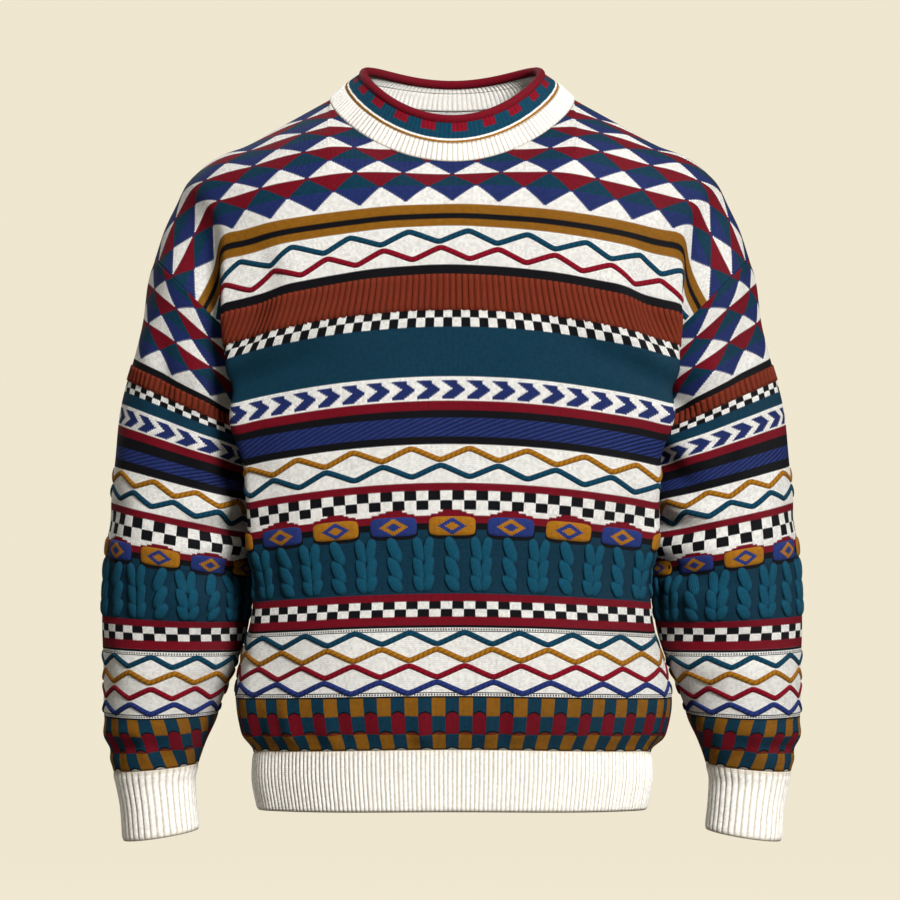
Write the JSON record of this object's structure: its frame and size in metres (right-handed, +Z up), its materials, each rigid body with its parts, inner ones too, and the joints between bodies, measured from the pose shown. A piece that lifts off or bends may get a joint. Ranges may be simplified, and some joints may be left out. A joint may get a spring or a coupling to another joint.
{
  "type": "crewneck sweater",
  "caption": "Hollow drop-shoulder crewneck sweater in banded patterned knit, filled out as worn, with ribbed hem and cuffs and a rolled patterned neckband.",
  "frame": {"origin": "midway between the two neck points of the shoulder seams, where the wearer's shoulders hold the garment", "axes": "+Z up, -Y out of the front, +X to the right seen from the front"},
  "size_m": [0.6576, 0.2958, 0.7282],
  "materials": {
    "body_knit": "matt multicoloured cotton knit",
    "sleeve_knit": "matt multicoloured cotton knit",
    "rib": "matt ecru cotton rib",
    "neck_band": "matt patterned cotton rib with a rolled burgundy edge"
  },
  "bodies": {
    "root": {"front": "body_knit", "back": "body_knit", "sleeve_left": "sleeve_knit", "sleeve_right": "sleeve_knit", "welt_front": "rib", "welt_back": "rib", "cuff_left": "rib", "cuff_right": "rib", "neck_rib": "rib", "neck_band": "neck_band"}
  },
  "joints": []
}
